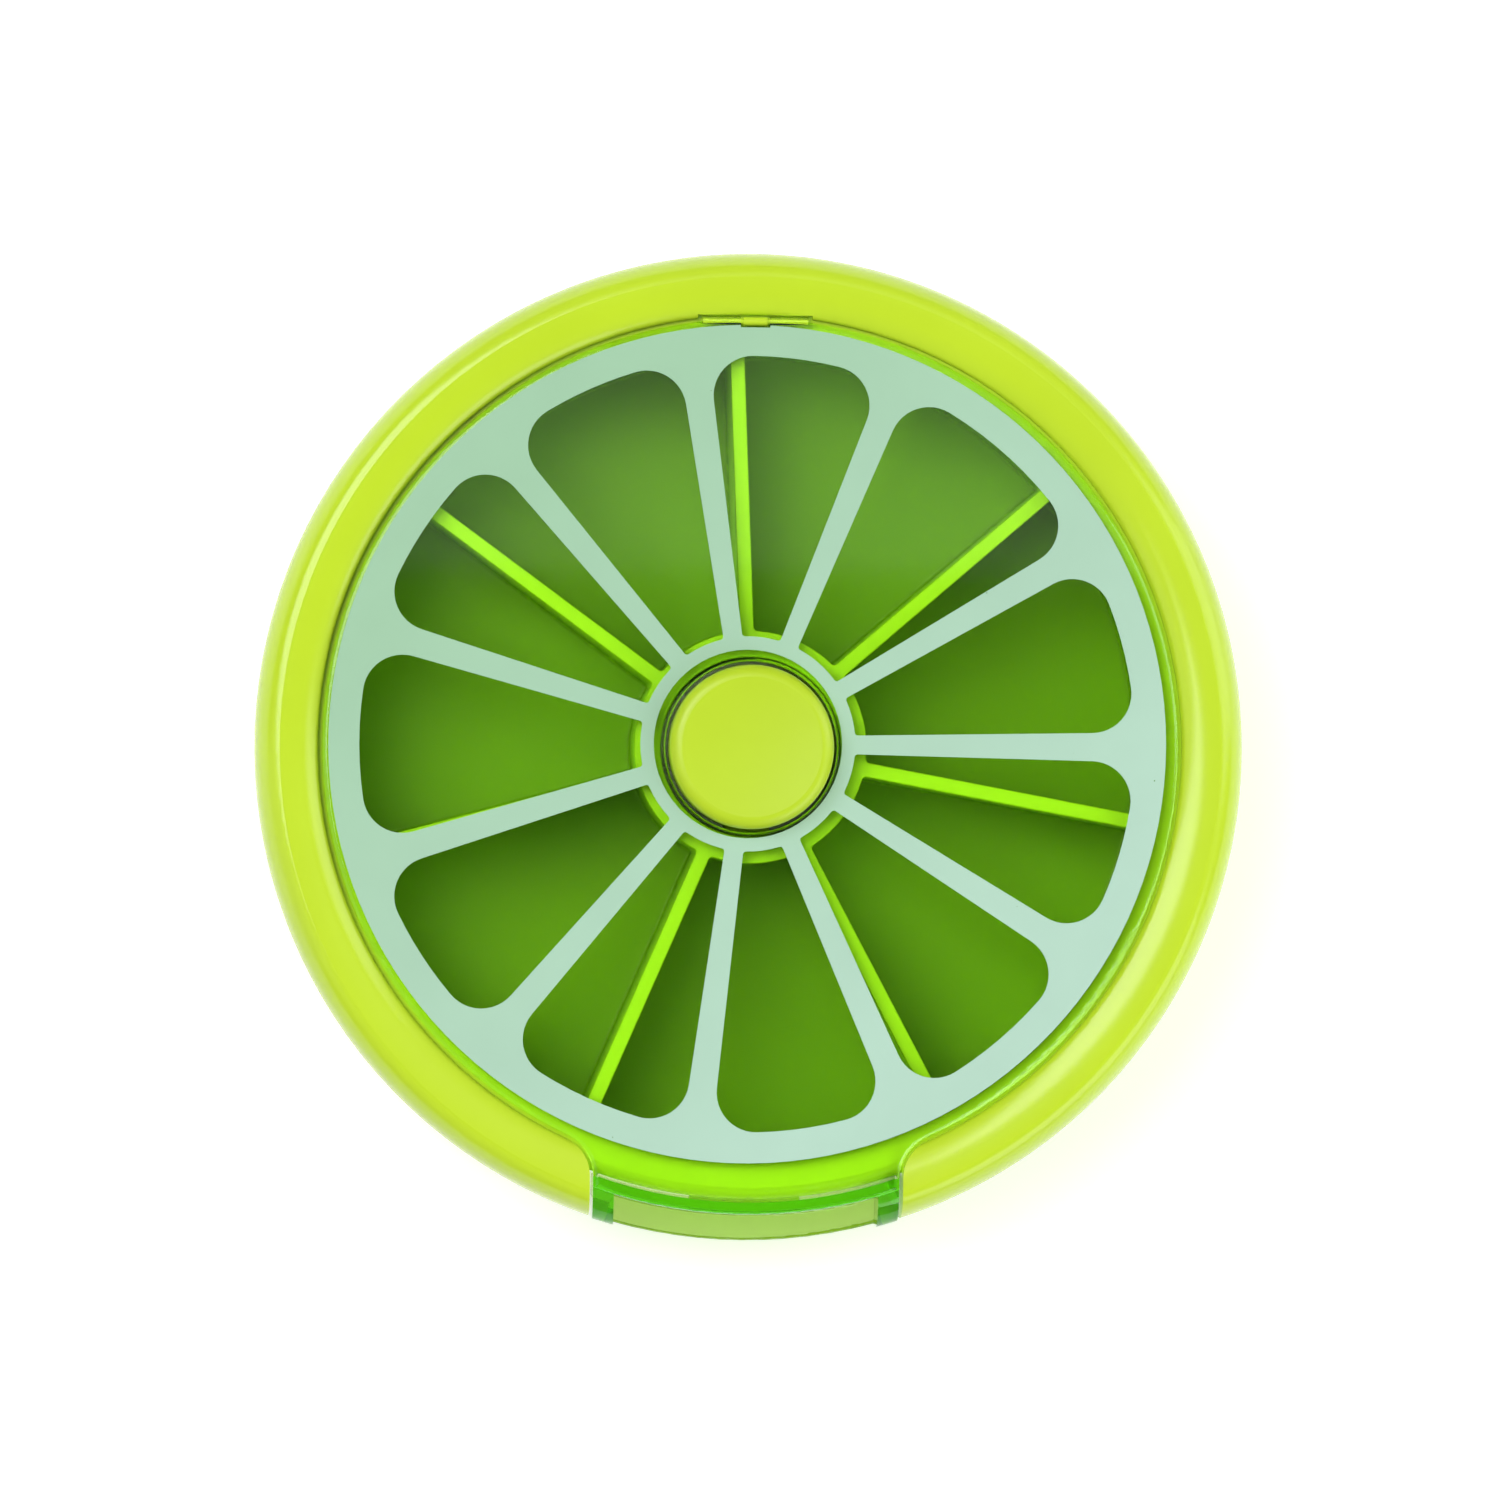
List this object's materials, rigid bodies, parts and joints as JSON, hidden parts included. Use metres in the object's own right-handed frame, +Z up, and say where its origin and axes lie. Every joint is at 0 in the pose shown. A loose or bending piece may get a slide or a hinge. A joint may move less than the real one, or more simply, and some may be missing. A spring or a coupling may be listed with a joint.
{
  "type": "weekly pill organizer",
  "caption": "Round push-button weekly pill organizer: a turning tray of day cells in a lime case, under a hinged clear lid with a printed citrus slice.",
  "frame": {"origin": "middle of the case's underside", "axes": "+Z up along the push button's axis, +Y towards the lid's hinge, -Y towards the thumb notch"},
  "size_m": [0.09, 0.09, 0.0224],
  "materials": {
    "case_plastic": "opaque lime plastic, polished",
    "lid_plastic": "clear green plastic, polished",
    "print_ink": "pale mint printed ink",
    "tray_plastic": "opaque lime plastic",
    "button_plastic": "opaque lime plastic, satin",
    "slider_plastic": "natural white low-friction plastic",
    "screw_steel": "plain zinc-plated steel",
    "spring_steel": "bright spring steel"
  },
  "bodies": {
    "case": {"upper_case": "case_plastic", "lower_case": "case_plastic", "case_screws": "screw_steel", "hinge_pin": "case_plastic", "detent_spring": "spring_steel", "stop_washer": "screw_steel", "stop_screw": "screw_steel", "return_spring": "spring_steel"},
    "lid": {"lid": "lid_plastic", "slice_print": "print_ink"},
    "tray": {"tray": "tray_plastic"},
    "drive": {"drive_hub": "slider_plastic", "pawl_ring": "slider_plastic", "retaining_clip": "spring_steel"},
    "button": {"button_stem": "slider_plastic", "button_cap": "button_plastic"}
  },
  "joints": [
    {"name": "lid_hinge", "type": "hinge", "parent": "case", "child": "lid", "pos_m": [0, 0.0386, 0.0193], "axis": [-1, 0, 0], "range_deg": [0, 100]},
    {"name": "tray_spin", "type": "hinge", "parent": "case", "child": "tray", "pos_m": [0, 0, 0.0046], "axis": [0, 0, 1], "continuous": true, "deforming": ["detent_spring"]},
    {"name": "drive_spin", "type": "hinge", "parent": "case", "child": "drive", "pos_m": [0, 0, 0.0036], "axis": [0, 0, 1], "range_deg": [0, 51.5], "deforming": ["pawl_ring"]},
    {"name": "button_press", "type": "slide", "parent": "case", "child": "button", "axis": [0, 0, -1], "range_m": [0, 0.0026], "stiffness_N_per_m": 400, "springref_m": -0.003, "deforming": ["return_spring"]}
  ],
  "couplings": [
    {"joint": "drive_spin", "follows": "button_press", "rad_per_m": 345.23}
  ]
}
